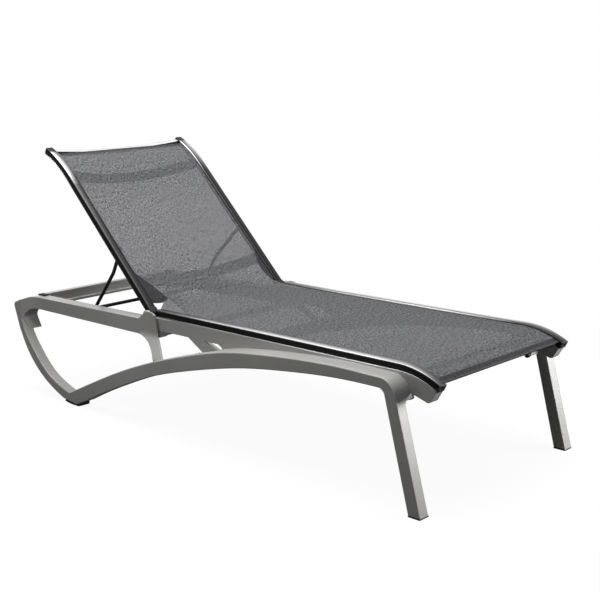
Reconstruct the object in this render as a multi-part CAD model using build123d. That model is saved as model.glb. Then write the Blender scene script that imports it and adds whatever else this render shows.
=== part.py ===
from build123d import *
import os
from math import acos, atan2, cos, degrees, radians, sin, sqrt, tan

# Sun lounger with a tensioned mesh sling and a reclining back.
# Millimetres. X runs from the head end (-X) to the foot end (+X), Y is the width,
# Z is up, and the floor is Z = 0. The origin lies on the floor under the middle.

# Driving dimensions of the whole lounger
overall_length = 1892.0
overall_width = 710.0
seat_top = 380.0
half_length = overall_length / 2
half_width = overall_width / 2

# Side frame: the outer loop of arm, arch and leg, and the inner beam under the seat
loop_thickness = 36.0
beam_outer_inset = 61.0
beam_thickness = 30.0
beam_depth = 42.0
upper_rail_outer_inset = 39.0
upper_rail_inner_gap = 6.0
post_plate = 5.0
post_thickness = 14.0
post_rib_width = 16.0
knuckle_gap = 4.0
hinge_boss_radius = 13.0
pin_skin = 2.5
beam_flare = 9.0
beam_flare_length = 80.0
beam_wall = 7.0
beam_flange = 6.0
shelf_thickness = 10.0
edge_round = 3.0
corner_round = 26.0
bend_round = 52.0
inner_bend_round = 22.0
window_round = 30.0
toe_round = 9.0
crotch_round = 12.0
soft_round = 8.0
foot_round = 20.0
overrun = 40.0
pad_thickness = 3.0

# Sling rails: aluminium extrusions that hold the edges of the mesh
rail_width = 28.0
rail_height = 22.0
rail_corner = 4.5
rail_small_corner = 1.2
rail_groove_depth = 1.6
rail_groove_height = 3.0
chamber_width = 20.0
chamber_height = 7.5
chamber_drop = 4.5
channel_radius = 3.5
channel_inset = 7.5
channel_rise = 5.0
channel_slot = 2.6
keder_radius = 2.8
plug_flange = 3.0
plug_tongue = 8.0
plug_clearance = 0.3
plug_hole_radius = 4.0
plug_hole_depth = 2.0

# Seat nose: the rails curl down at the foot end
nose_radius = 281.0
nose_angle = 28.5
nose_tip_round = 11.0

# Backrest
back_angle = 45.0
back_straight = 578.0
back_curve_radius = 430.0
back_curve_angle = 20.0
hinge_eye_gap = 4.0
hinge_eye_length = 15.0
hinge_pin_radius = 4.0
hinge_pin_clearance = 0.05
hinge_drop = 16.0
hinge_washer_radius = 9.0
hinge_washer_clearance = 0.3
pin_head_radius = 7.5
pin_head_height = 3.5
hinge_bracket_thickness = 3.5
hinge_bracket_round = 9.0
bracket_screw_along = 56.0
bracket_screw_drops = [18.0, 38.0]
bracket_screw_backs = [20.0, 0.0]

# Sling mesh
sling_thickness = 1.2
bend_radius = 390.0
bend_inset = 45.0
hem_bar_radius = 5.0
hem_bar_setback = 16.0
hem_setback = 10.0
back_hem_setback = 34.0
edge_gap = 2.0
foot_pad_shares = [(-0.6987, 0.012), (-0.6606, 0.0), (-0.6164, 0.0), (-0.6023, 0.010), (-0.5973, 0.046)]
foot_pad_inner_shares = [(-0.6084, 0.080), (-0.6686, 0.060), (-0.6937, 0.040)]

# Backrest cross members
brace_width = 42.0
brace_thickness = 18.0
brace_bow = 44.0
brace_drop = 8.0
upper_brace_margin = 20.0
lower_brace_along = 138.0
tube_wall = 1.8
collar_length = 14.0
collar_wall = 2.0
top_bar_width = 20.0
top_bar_thickness = 13.0
top_bar_bow = 16.0
top_bar_setback = 9.0

# Support bail: the bent rod that props the backrest in the rack
bail_radius = 6.0
bail_pivot_inset = 11.0
bail_knee_inset = 37.0
bail_bar_inset = 30.0
bail_pivot_along = 266.0
bail_pivot_drop = 3.0
bail_knee_round = 60.0
bail_bend_round = 16.0
bail_knee_share = (-0.5354, 1.197)
bail_bar_share = (-0.6532, 0.842)
bail_ratio = -1.93
bail_running_gap = 0.5
bail_bush_radius = 7.0
bail_bush_length = 5.0

# Rack on the inner face of each upper rail
rack_height = 30.0
rack_base_gap = 4.0
rack_wall = 7.0
rack_floor_thickness = 5.0
rack_notch_radius = 7.0
rack_end_margin = 26.0
rack_screw_inset = 14.0
rack_notch_turns = [-45.0, -33.0, -22.0, -11.0, 0.0, 12.0]

# Cross members between the side frames
rear_beam_thickness = 24.0
rear_beam_height = 40.0
rear_beam_ledge = 18.0
rear_beam_ledge_thickness = 8.0
rear_beam_wall = 3.0
rear_slot_pitch = 84.0
rear_slot_length = 17.0
rear_slot_width = 6.0
rear_slot_count = 6
rear_beam_top = 338.0
rear_beam_end_drop = 12.0
rear_beam_end_inset = 79.0
bumper_length = 36.0
bumper_width = 18.0
bumper_gap = 7.0
bumper_share = -0.9133
middle_tube_radius = 10.0
middle_tube_wall = 2.0
middle_tube_share = -0.2072
middle_tube_drop = 14.0
front_beam_width = 25.0
front_beam_height = 38.0
front_beam_wall = 2.5
lug_length = 30.0
lug_height = 44.0
lug_inset = 48.0
front_beam_share = 0.8428
front_beam_top = 338.0
bolt_cap_radius = 7.5
bolt_cap_length = 12.0
bolt_cap_setback = 8.0
screw_head_radius = 5.0
screw_head_height = 2.6
screw_shank_radius = 2.4
screw_depth = 9.0

# Outline points of the side frame, as shares of half the length and of the seat height
arm_rear_shares = [(-0.996, 0.835), (-0.9699, 0.576), (-0.9187, 0.361), (-0.8564, 0.213), (-0.7811, 0.102), (-0.7068, 0.030)]
arm_front_shares = [(-0.6706, 0.102), (-0.7158, 0.134), (-0.7961, 0.218), (-0.8805, 0.396), (-0.9397, 0.589), (-0.9618, 0.835)]
arch_top_shares = [(0.8076, 0.934), (0.658, 0.937), (0.5214, 0.922), (0.3587, 0.890), (0.2121, 0.845), (0.1026, 0.789), (-0.0078, 0.718), (-0.1434, 0.621), (-0.289, 0.500), (-0.4396, 0.352)]
arch_under_shares = [(-0.5601, 0.079), (-0.4457, 0.210), (-0.294, 0.364), (-0.1484, 0.495), (-0.0118, 0.589), (0.179, 0.698), (0.2985, 0.753), (0.4662, 0.806), (0.656, 0.847), (0.7875, 0.856)]
foot_low_share = (-0.6304, 0.010)
leg_top_rear_share = (0.8535, 0.856)
leg_foot_rear_share = 0.9367
leg_foot_front_share = 0.9788
leg_top_front_share = (0.8839, 0.934)

# Upper rail, knuckle and post
upper_rail_rear_share = 0.9046
upper_rail_top_rear_share = 0.897
upper_rail_top_front_share = 0.918
upper_rail_under_share = 0.786
corner_front_share = -0.9146
corner_flare_share = -0.9578
valley_share = -0.289
knuckle_front_share = -0.1846
hump_shares = [(-0.2870, 0.916), (-0.2680, 0.932), (-0.2430, 0.979), (-0.2180, 0.993), (-0.2030, 0.989), (-0.1885, 0.970)]
post_left_shares = [(-0.2729, 0.786), (-0.2328, 0.761), (-0.1896, 0.701), (-0.1464, 0.569)]
post_right_shares = [(-0.1012, 0.609), (-0.1424, 0.713), (-0.1775, 0.794)]
post_rib_shares = [(-0.2120, 0.830), (-0.2000, 0.780), (-0.1650, 0.700), (-0.1260, 0.590)]
post_lean_top_share = 0.792
post_lean_low_share = 0.620
hinge_share = -0.2431

# Web and brace between the seat beam and the arch
brace_top_share = -0.044
brace_foot_shares = [(0.0263, 0.731), (0.0494, 0.701)]
web_mid_shares = [(0.2553, 0.792), (0.5063, 0.874), (0.7674, 0.894)]
web_window_shares = [(0.0344, 0.829), (0.1026, 0.833), (0.1288, 0.802), (0.1047, 0.757)]
web_window_round = 7.0
wide_arch_start_share = 0.1288
nose_under_share = (0.894, 0.813)
nose_tip_share = (0.962, 0.763)
leg_flare_shares = [0.745, 0.759, 0.791, 0.808]
leg_flare_inset = 48.0
arch_shelf_low_share = 0.720
beam_pocket_shares = (-0.034, 0.818)
beam_flange_end_share = 0.165
lug_front_share = 0.8816
bolt_level_share = 0.755

# Levels and planes that the pieces share
beam_top = seat_top - rail_height
beam_outer = half_width - beam_outer_inset
beam_inner = beam_outer - beam_thickness
loop_inner = half_width - loop_thickness
rail_inner = beam_outer - rail_width
rail_mid = beam_outer - rail_width / 2
upper_outer = half_width - upper_rail_outer_inset
upper_inner = rail_inner + upper_rail_inner_gap
knuckle_inner = beam_outer + knuckle_gap
knuckle_outer = upper_outer
plate_inner = knuckle_outer - post_plate
hinge_x = hinge_share * half_length
hinge_z = seat_top - hinge_drop
seat_line = beam_top + rail_height / 2
channel_y = rail_inner + channel_inset
sling_half = channel_y - keder_radius


def at(share):
    """Side-view point (x, z) from shares of half the length and of the seat height."""
    return (share[0] * half_length, share[1] * seat_top)


def spline_edge(points):
    """Smooth edge in the side view through a few points (x, z)."""
    return Spline(*[(x, 0, z) for x, z in points])


def line_edge(start, end):
    """Straight edge in the side view."""
    return Line((start[0], 0, start[1]), (end[0], 0, end[1]))


def side_face(edges):
    """Face in the side view from edges that meet end to end."""
    return make_face(Wire(edges)).face()


def side_polygon(points):
    """Straight-sided face in the side view."""
    return make_face(Polyline(*[(x, 0, z) for x, z in points], close=True)).face()


def round_corners(face, radii):
    """Round the corners of a side-view face nearest to the given points by their radii."""
    for (x, z), radius in radii:
        corner = face.vertices().sort_by_distance(Vector(x, 0, z))[0]
        face = face.fillet_2d(radius, [corner])
    return face


def span(face, inner, outer):
    """Solid of a side-view face between two distances from the middle, on the +Y side."""
    solid = extrude(face, amount=outer - inner, dir=(0, 1, 0))
    return Pos(0, inner, 0) * solid


def block(x0, x1, y0, y1, z0, z1):
    """Box between two corners."""
    size = Box(x1 - x0, y1 - y0, z1 - z0, align=(Align.MIN, Align.MIN, Align.MIN))
    return Pos(x0, y0, z0) * size


def rod(start, end, radius):
    """Round bar between two points."""
    start = Vector(*start)
    end = Vector(*end)
    plane = Plane(origin=start, z_dir=(end - start).normalized())
    return extrude(plane * Circle(radius), amount=(end - start).length)


# The side frame: one moulding, joined from its outer loop, upper rail, post and seat beam

def loop_face():
    """Side view of the arm, arch and leg."""
    arm_rear = [at(p) for p in arm_rear_shares]
    arm_front = [at(p) for p in arm_front_shares]
    arch_top = [at(p) for p in arch_top_shares] + [arm_front[0]]
    arch_under = [at(p) for p in arch_under_shares]
    foot = at(foot_low_share)
    leg_rear = (leg_foot_rear_share * half_length, pad_thickness)
    leg_front = (leg_foot_front_share * half_length, pad_thickness)
    top_rear = at(leg_top_rear_share)
    top_front = at(leg_top_front_share)
    edges = [spline_edge(arm_rear), line_edge(arm_rear[-1], foot), line_edge(foot, arch_under[0])]
    edges += [spline_edge(arch_under), line_edge(arch_under[-1], top_rear), line_edge(top_rear, leg_rear)]
    edges += [line_edge(leg_rear, leg_front), line_edge(leg_front, top_front), line_edge(top_front, arch_top[0])]
    edges += [spline_edge(arch_top), spline_edge(arm_front), line_edge(arm_front[-1], arm_rear[0])]
    radii = [(top_front, bend_round), (top_rear, inner_bend_round), (arm_rear[-1], toe_round)]
    radii += [(arm_front[0], crotch_round), (arch_under[0], soft_round), (foot, foot_round)]
    radii += [(arm_rear[0], soft_round), (arm_front[-1], soft_round)]
    return round_corners(side_face(edges), radii)


def loop_solid():
    """Outer loop, with its edges rounded on both faces."""
    loop = span(loop_face(), loop_inner, half_width)
    rims = [e for e in loop.edges() if e.bounding_box().size.Y < edge_round / 2]
    return fillet(rims, edge_round)


def upper_rail_face():
    """Side view of the upper rail, from the rounded rear corner to the hinge."""
    arm_back = at(arm_rear_shares[1])
    arm_front = at(arm_front_shares[4])
    top_rear = (-upper_rail_rear_share * half_length, upper_rail_top_rear_share * seat_top)
    top_front = (valley_share * half_length, upper_rail_top_front_share * seat_top)
    under = upper_rail_under_share * seat_top
    window_corner = (at(arm_front_shares[5])[0], under)
    rear = (-half_length, at(arm_rear_shares[0])[1])
    shoulder = (top_rear[0] - corner_round, top_rear[1])
    points = [arm_back, (rear[0], rear[1] - corner_round / 2), rear, shoulder, top_rear, top_front]
    points += [(hinge_x, top_front[1]), (hinge_x, under), window_corner, arm_front]
    radii = [(rear, corner_round / 2), (shoulder, corner_round), (window_corner, window_round)]
    return round_corners(side_polygon(points), radii)


def upper_rail_plan():
    """Plan view of the upper rail, with the hollow curve where it meets the arm."""
    front = knuckle_front_share * half_length
    flare_start = (corner_front_share * half_length + loop_thickness, upper_outer)
    flare_end = (corner_flare_share * half_length, half_width)
    flare_mid = ((flare_start[0] + 2 * flare_end[0]) / 3, (2 * upper_outer + half_width) / 3)
    inner_end = corner_front_share * half_length
    outline = [Line((front, upper_inner), (inner_end, upper_inner))]
    outline += [Line((inner_end, upper_inner), (-half_length, loop_inner))]
    outline += [Line((-half_length, loop_inner), (-half_length, half_width))]
    outline += [Line((-half_length, half_width), flare_end)]
    outline += [ThreePointArc(flare_end, flare_mid, flare_start)]
    outline += [Line(flare_start, (front, upper_outer)), Line((front, upper_outer), (front, upper_inner))]
    return make_face(Wire(outline))


def upper_rail_solid():
    """Upper rail: its side view cut to its plan view."""
    side = span(upper_rail_face(), upper_inner, half_width)
    plan = Pos(0, 0, seat_top / 2) * extrude(upper_rail_plan(), amount=seat_top)
    return side & plan


def post_face():
    """Side view of the knuckle and of the post that runs down from it to the arch."""
    left = [at(p) for p in post_left_shares]
    right = [at(p) for p in post_right_shares]
    hump = [at(p) for p in hump_shares]
    edges = [line_edge(hump[0], left[0]), spline_edge(left), line_edge(left[-1], right[0])]
    edges += [spline_edge(right), line_edge(right[-1], hump[-1]), spline_edge(hump)]
    return side_face(edges)


def post_lean(thickness):
    """End view of a plate that leans out to the loop as it runs down."""
    top = seat_top + overrun
    lean_top = post_lean_top_share * seat_top
    lean_low = post_lean_low_share * seat_top
    low = post_left_shares[-1][1] * seat_top - overrun
    outer = [(knuckle_outer, top), (knuckle_outer, lean_top), (half_width, lean_low), (half_width, low)]
    inner = [(half_width - thickness, low), (half_width - thickness, lean_low)]
    inner += [(knuckle_outer - thickness, lean_top), (knuckle_outer - thickness, top)]
    face = make_face(Polyline(*[(0, y, z) for y, z in outer + inner], close=True)).face()
    for y, z in [outer[1], outer[2], inner[1], inner[2]]:
        corner = face.vertices().sort_by_distance(Vector(0, y, z))[0]
        face = face.fillet_2d(upper_rail_outer_inset, [corner])
    return face


def post_rib_face():
    """Side view of the rib along the inner side of the post."""
    centre = [at(p) for p in post_rib_shares]
    half = post_rib_width / 2
    rear = [(x - half, z) for x, z in centre]
    front = [(x + half, z) for x, z in reversed(centre)]
    return side_polygon(rear + front)


def leaning(face, thickness):
    """Plate of a side view and a thickness, leaning out with the post."""
    side = span(face, beam_inner, half_width)
    lean = Pos(-half_length, 0, 0) * extrude(post_lean(thickness), amount=half_length, dir=(1, 0, 0))
    return side & lean


def post_solid():
    """Knuckle plate and post, with the rib behind the post and the boss behind the hinge."""
    post = leaning(post_face(), post_plate) + leaning(post_rib_face(), post_thickness)
    return post + rod((hinge_x, knuckle_inner, hinge_z), (hinge_x, plate_inner, hinge_z), hinge_boss_radius)


def nose_frame(drop):
    """Start and end of the nose curve for a line that lies a drop below the seat line."""
    centre_z = seat_line - nose_radius
    radius = nose_radius - drop
    end_angle = radians(nose_angle)
    middle_angle = end_angle / 2
    start = (nose_start, centre_z + radius)
    middle = (nose_start + radius * sin(middle_angle), centre_z + radius * cos(middle_angle))
    end = (nose_start + radius * sin(end_angle), centre_z + radius * cos(end_angle))
    return start, middle, end


nose_start = half_length - plug_flange - (nose_radius + rail_height / 2) * sin(radians(nose_angle))


def arc_edge(start, middle, end):
    """Arc in the side view through three points."""
    return ThreePointArc((start[0], 0, start[1]), (middle[0], 0, middle[1]), (end[0], 0, end[1]))


def beam_face():
    """Side view of the seat beam, with its nose, web and brace."""
    top_start, top_middle, top_end = nose_frame(rail_height / 2)
    low_end = at(nose_tip_share)
    under = at(nose_under_share)
    rear = hinge_x + rail_height / 2 + hinge_eye_gap
    low = beam_top - beam_depth
    brace_top = (brace_top_share * half_length, low)
    foot = [at(p) for p in brace_foot_shares]
    web = [at(p) for p in web_mid_shares]
    edges = [line_edge((rear, beam_top), top_start), arc_edge(top_start, top_middle, top_end)]
    edges += [line_edge(top_end, low_end), line_edge(low_end, under), line_edge(under, web[-1])]
    edges += [line_edge(web[2], web[1]), line_edge(web[1], web[0]), line_edge(web[0], foot[1])]
    edges += [line_edge(foot[1], foot[0]), line_edge(foot[0], brace_top), line_edge(brace_top, (rear, low))]
    edges += [line_edge((rear, low), (rear, beam_top))]
    face = round_corners(side_face(edges), [(low_end, nose_tip_round)])
    window = [at(p) for p in web_window_shares]
    hole = round_corners(side_polygon(window), [(window[1], web_window_round), (window[2], web_window_round)])
    return face - hole


def beam_solid():
    """Seat beam, hollowed from its inner side, with the flare that closes on the knuckle."""
    beam = span(beam_face(), beam_inner, beam_outer)
    start = beam_pocket_shares[0] * half_length
    end = beam_pocket_shares[1] * half_length
    wall = beam_outer - beam_wall
    low = arch_under_shares[4][1] * seat_top
    beam -= block(start, end, beam_inner - overrun, wall, low, beam_top - beam_flange)
    flange_end = beam_flange_end_share * half_length
    flange_low = beam_top - beam_depth
    beam += block(start, flange_end, beam_inner, wall, flange_low, flange_low + beam_flange)
    rear = hinge_x + rail_height / 2 + hinge_eye_gap
    front = knuckle_front_share * half_length
    flare = beam_outer + beam_flare
    outline = [(rear, beam_outer), (rear, flare), (front, flare), (front + beam_flare_length, beam_outer)]
    plan = make_face(Polyline(*outline, close=True))
    return beam + Pos(0, 0, flange_low) * extrude(plan, amount=beam_depth)


def wide_arch_solid():
    """Shelf along the top of the arch that joins it to the seat beam, and its low end at the brace."""
    start = wide_arch_start_share * half_length
    end = leg_top_rear_share[0] * half_length
    strip = span(loop_face(), beam_inner, loop_inner + edge_round)
    low = arch_under_shares[4][1] * seat_top
    skin = strip - Pos(0, 0, -shelf_thickness) * strip
    shelf = skin & block(start, end, beam_inner, half_width, low, seat_top)
    foot = strip & block(0, start, beam_outer - beam_wall, half_width, low, arch_shelf_low_share * seat_top)
    return shelf + foot


def leg_flare_solid():
    """Top of the leg, spread inboard to the nose of the seat beam."""
    start = leg_top_rear_share[0] * half_length - shelf_thickness
    levels = [share * seat_top for share in leg_flare_shares]
    wall = beam_outer - beam_wall
    outline = [(loop_inner + edge_round, levels[0]), (loop_inner, levels[1])]
    outline += [(half_width - leg_flare_inset, levels[2]), (beam_outer, levels[3])]
    outline += [(wall, levels[3]), (wall, seat_top), (loop_inner + edge_round, seat_top)]
    end_view = make_face(Polyline(*[(0, y, z) for y, z in outline], close=True))
    strip = span(loop_face(), wall, loop_inner + edge_round)
    return strip & (Pos(start, 0, 0) * extrude(end_view, amount=half_length - start, dir=(1, 0, 0)))


def lug_solid():
    """Lug under the nose, inboard of the leg, that carries the front cross member."""
    top = leg_top_rear_share[1] * seat_top + edge_round
    inner = half_width - lug_inset - loop_thickness
    return block(lug_x, lug_x + lug_length, inner, loop_inner + edge_round, top - lug_height, top)


lug_x = lug_front_share * half_length - lug_length


def knuckle_floor_solid():
    """Solid floor under the hinge, which ties the seat beam, the upper rail and the knuckle."""
    rear = valley_share * half_length
    front = hinge_x + rail_height / 2 + hinge_eye_gap
    top = upper_rail_top_front_share * seat_top - edge_round
    return block(rear, front, beam_inner, plate_inner + edge_round / 2, beam_top - beam_depth, top)


def side_frame():
    """One moulded side frame, on the +Y side."""
    frame = loop_solid() + upper_rail_solid() + post_solid()
    frame += beam_solid() + wide_arch_solid() + leg_flare_solid() + lug_solid()
    frame += knuckle_floor_solid() + middle_lug_solid() + corner_lug_solid()
    pin_radius = hinge_pin_radius + hinge_pin_clearance
    frame -= rod((hinge_x, rail_inner, hinge_z), (hinge_x, knuckle_outer - pin_skin, hinge_z), pin_radius)
    for x, z in bracket_screw_points():
        frame -= rod((x, beam_inner, z), (x, beam_inner + screw_depth, z), screw_shank_radius)
    for x, z in rack_screw_points():
        frame -= rod((x, upper_inner, z), (x, upper_inner + screw_depth, z), screw_shank_radius)
    return frame


def middle_lug_solid():
    """Lug under the seat beam that carries the middle cross tube."""
    low = tube_z - middle_tube_radius
    return block(tube_x - middle_tube_radius, tube_x + middle_tube_radius, beam_inner, beam_outer, low, beam_top - beam_depth / 2)


def corner_lug_solid():
    """Lug inside the rear corner that the end of the rear cross beam meets."""
    rear, front = rear_beam_x()
    low = rear_beam_top - rear_beam_height
    return block(rear, front, half_width - rear_beam_end_inset, loop_inner, low, rear_beam_top - rear_beam_end_drop)


tube_x = middle_tube_share * half_length
tube_z = beam_top - beam_depth - middle_tube_drop


# Backrest geometry: a point along the back rail gives its place and its two directions

def back_place(along):
    """Origin (x, z), direction along the rail and direction to its front, at rest."""
    start = radians(back_angle)
    straight = min(along, back_straight)
    x = hinge_x - straight * cos(start)
    z = hinge_z + straight * sin(start)
    turn = max(along - back_straight, 0.0) / back_curve_radius
    x += back_curve_radius * (sin(start - turn) - sin(start))
    z += back_curve_radius * (cos(start - turn) - cos(start))
    angle = start - turn
    return (x, z), (-cos(angle), sin(angle)), (sin(angle), cos(angle))


def on_back(along, front):
    """Side-view point at a distance along the rail and a distance to its front, at rest."""
    (x, z), _, normal = back_place(along)
    return (x + front * normal[0], z + front * normal[1])


def back_band(start, end, low, high):
    """Side-view face that follows the back rail between two distances along and in front of it."""
    middle = (back_straight + end) / 2
    edges = [line_edge(on_back(start, low), on_back(back_straight, low))]
    edges += [arc_edge(on_back(back_straight, low), on_back(middle, low), on_back(end, low))]
    edges += [line_edge(on_back(end, low), on_back(end, high))]
    edges += [arc_edge(on_back(end, high), on_back(middle, high), on_back(back_straight, high))]
    edges += [line_edge(on_back(back_straight, high), on_back(start, high))]
    edges += [line_edge(on_back(start, high), on_back(start, low))]
    return side_face(edges)


back_length = back_straight + back_curve_radius * radians(back_curve_angle)


# Sling rails

def rail_outline():
    """Section of the rail without its openings: x points outward, y to the sling side."""
    outline = RectangleRounded(rail_width, rail_height, rail_small_corner)
    crown = RectangleRounded(rail_width, rail_height, rail_corner)
    lower = Pos(0, -rail_height / 4) * Rectangle(rail_width, rail_height / 2)
    return (outline & lower) + crown


def rail_section():
    """Section of the rail with its hollow chamber, its edge channel and its outer groove."""
    chamber = Pos(0, -chamber_drop) * RectangleRounded(chamber_width, chamber_height, rail_small_corner)
    channel_x = channel_inset - rail_width / 2
    channel = Pos(channel_x, channel_rise) * Circle(channel_radius)
    mouth = Pos(-rail_width / 2, channel_rise) * Rectangle(2 * channel_inset, channel_slot)
    groove = Pos(rail_width / 2, 0) * Rectangle(2 * rail_groove_depth, rail_groove_height)
    return rail_outline() - chamber - channel - mouth - groove


seat_rail_start = hinge_x + rail_height / 2 + hinge_eye_length + plug_flange + hinge_eye_gap


def seat_path(start, drop):
    """Path of the seat line in the side view, from its start to the end of the nose."""
    curve_start, curve_middle, curve_end = nose_frame(drop)
    z = curve_start[1]
    straight = line_edge((start, z), curve_start)
    return Wire([straight, arc_edge(curve_start, curve_middle, curve_end)])


def seat_rail():
    """Seat rail with its curled nose."""
    path = Pos(0, rail_mid, 0) * seat_path(seat_rail_start, 0.0)
    plane = Plane(origin=(seat_rail_start, rail_mid, seat_line), x_dir=(0, 1, 0), z_dir=(1, 0, 0))
    return sweep(plane * rail_section(), path=path)


def back_path(y, front, start, end):
    """Path along the back rail at a distance from the middle and in front of its centreline."""
    middle = (back_straight + end) / 2
    lift = Pos(0, y, 0)
    straight = lift * line_edge(on_back(start, front), on_back(back_straight, front))
    curve = lift * arc_edge(on_back(back_straight, front), on_back(middle, front), on_back(end, front))
    return Wire([straight, curve])


def back_rail():
    """Back rail, straight from the hinge eye and then bent backwards at the head."""
    path = back_path(rail_mid, 0.0, hinge_eye_length, back_length)
    plane = back_section_plane(hinge_eye_length)
    return sweep(plane * rail_section(), path=path)


def back_section_plane(along):
    """Plane across the back rail for its section: x outward, y to the front."""
    (x, z), direction, _ = back_place(along)
    return Plane(origin=(x, rail_mid, z), x_dir=(0, 1, 0), z_dir=(-direction[0], 0, -direction[1]))


def plug(hole):
    """End plug of a rail, with its flange on the section plane and its tongue behind it."""
    flange = extrude(rail_outline(), amount=plug_flange)
    if hole:
        flange -= Pos(0, 0, plug_flange - plug_hole_depth) * extrude(Circle(plug_hole_radius), amount=plug_flange)
    return flange + extrude(tongue_outline(), amount=-plug_tongue)


def tongue_outline():
    """Section of a tongue that fits in the chamber of the rail."""
    width = chamber_width - 2 * plug_clearance
    height = chamber_height - 2 * plug_clearance
    return Pos(0, -chamber_drop) * RectangleRounded(width, height, rail_small_corner)


def seat_front_plug():
    """Plug in the front end of the seat rail."""
    _, _, end = nose_frame(0.0)
    angle = radians(nose_angle)
    plane = Plane(origin=(end[0], rail_mid, end[1]), x_dir=(0, 1, 0), z_dir=(cos(angle), 0, -sin(angle)))
    return plane * plug(True)


def seat_rear_plug():
    """Plug in the rear end of the seat rail."""
    plane = Plane(origin=(seat_rail_start, -rail_mid, seat_line), x_dir=(0, -1, 0), z_dir=(-1, 0, 0))
    return plane * plug(False)


def back_cap():
    """Cap in the head end of the back rail."""
    (x, z), direction, _ = back_place(back_length)
    plane = Plane(origin=(x, -rail_mid, z), x_dir=(0, -1, 0), z_dir=(direction[0], 0, direction[1]))
    return plane * plug(False)


# Hinge

def hinge_eye():
    """Rounded end of the back rail that turns on the hinge pin."""
    radius = rail_height / 2
    corners = [on_back(0.0, -radius), on_back(hinge_eye_length, -radius)]
    corners += [on_back(hinge_eye_length, radius), on_back(0.0, radius)]
    body = span(side_polygon(corners), rail_inner, beam_outer)
    body += rod((hinge_x, rail_inner, hinge_z), (hinge_x, beam_outer, hinge_z), radius)
    body += extrude(back_section_plane(hinge_eye_length) * tongue_outline(), amount=-2 * plug_tongue)
    hole = hinge_pin_radius + hinge_pin_clearance
    return body - rod((hinge_x, rail_inner, hinge_z), (hinge_x, beam_outer, hinge_z), hole)


def hinge_pin():
    """Pin with one head, through bracket, eye and washer into the knuckle."""
    inner = beam_inner - hinge_bracket_thickness
    pin = rod((hinge_x, inner, hinge_z), (hinge_x, knuckle_outer - pin_skin, hinge_z), hinge_pin_radius)
    pin += rod((hinge_x, inner - pin_head_height, hinge_z), (hinge_x, inner, hinge_z), pin_head_radius)
    return pin


def hinge_washer():
    """Washer between the back rail and the knuckle."""
    inner = beam_outer + hinge_washer_clearance
    washer = rod((hinge_x, inner, hinge_z), (hinge_x, knuckle_inner, hinge_z), hinge_washer_radius)
    hole = hinge_pin_radius + hinge_pin_clearance
    return washer - rod((hinge_x, inner, hinge_z), (hinge_x, knuckle_inner, hinge_z), hole)


def bracket_screw_points():
    """Centres of the bracket screws in the side view."""
    drops = zip(bracket_screw_backs, bracket_screw_drops)
    return [(hinge_x + bracket_screw_along - back, hinge_z - drop) for back, drop in drops]


def hinge_bracket():
    """Steel plate on the inner face of the seat beam that carries the inner end of the pin."""
    centres = [(hinge_x, hinge_z)] + bracket_screw_points()
    rims = Sketch() + [Pos(x, z) * Circle(hinge_bracket_round) for x, z in centres]
    outline = Plane.XZ * make_hull(rims.edges())
    inner = beam_inner - hinge_bracket_thickness
    plate = Pos(0, inner, 0) * extrude(outline, amount=hinge_bracket_thickness, dir=(0, 1, 0))
    hole = hinge_pin_radius + hinge_pin_clearance
    plate -= rod((hinge_x, inner, hinge_z), (hinge_x, beam_inner, hinge_z), hole)
    for x, z in bracket_screw_points():
        plate -= rod((x, inner, z), (x, beam_inner, z), screw_shank_radius)
    return plate


def screw(x, z, seat, bearing):
    """Screw with a flat head on a seat at one distance from the middle, into the part behind it."""
    head = rod((x, seat - screw_head_height, z), (x, seat, z), screw_head_radius)
    return head + rod((x, seat, z), (x, bearing + screw_depth, z), screw_shank_radius)


def bracket_screws():
    """Screws of the hinge bracket on one side."""
    seat = beam_inner - hinge_bracket_thickness
    return [screw(x, z, seat, beam_inner) for x, z in bracket_screw_points()]


# Sling mesh in its three parts: seat, free bend and back

def bend_corner():
    """Point where the planes of the seat mesh and the back mesh would meet, and its place along the back."""
    angle = radians(back_angle)
    sheet_z = seat_line + channel_rise
    along = (sheet_z - hinge_z - channel_rise * cos(angle)) / sin(angle)
    return on_back(along, channel_rise)[0], along


sheet_z = seat_line + channel_rise
bend_x, bend_along = bend_corner()
bend_tangent = bend_radius * tan(radians(back_angle / 2))


def sling_seat():
    """Mesh of the seat, flat and then curled over the nose."""
    half = sling_thickness / 2
    start = bend_x + bend_tangent
    limit = degrees(hem_setback / (nose_radius + channel_rise))
    turn = radians(nose_angle - limit)
    centre_z = seat_line - nose_radius
    edges = []
    ends = []
    for radius in [nose_radius + channel_rise + half, nose_radius + channel_rise - half]:
        low = (nose_start, centre_z + radius)
        mid = (nose_start + radius * sin(turn / 2), centre_z + radius * cos(turn / 2))
        end = (nose_start + radius * sin(turn), centre_z + radius * cos(turn))
        edges += [line_edge((start, low[1]), low), arc_edge(low, mid, end)]
        ends.append(end)
    edges += [line_edge(ends[0], ends[1]), line_edge((start, sheet_z - half), (start, sheet_z + half))]
    return span(side_face(edges), -sling_half, sling_half)


def sling_back():
    """Mesh of the backrest, straight and then bent with the rails."""
    half = sling_thickness / 2
    start = bend_along + bend_tangent
    band = back_band(start, back_length - back_hem_setback, channel_rise - half, channel_rise + half)
    return span(band, -sling_half, sling_half)


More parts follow.
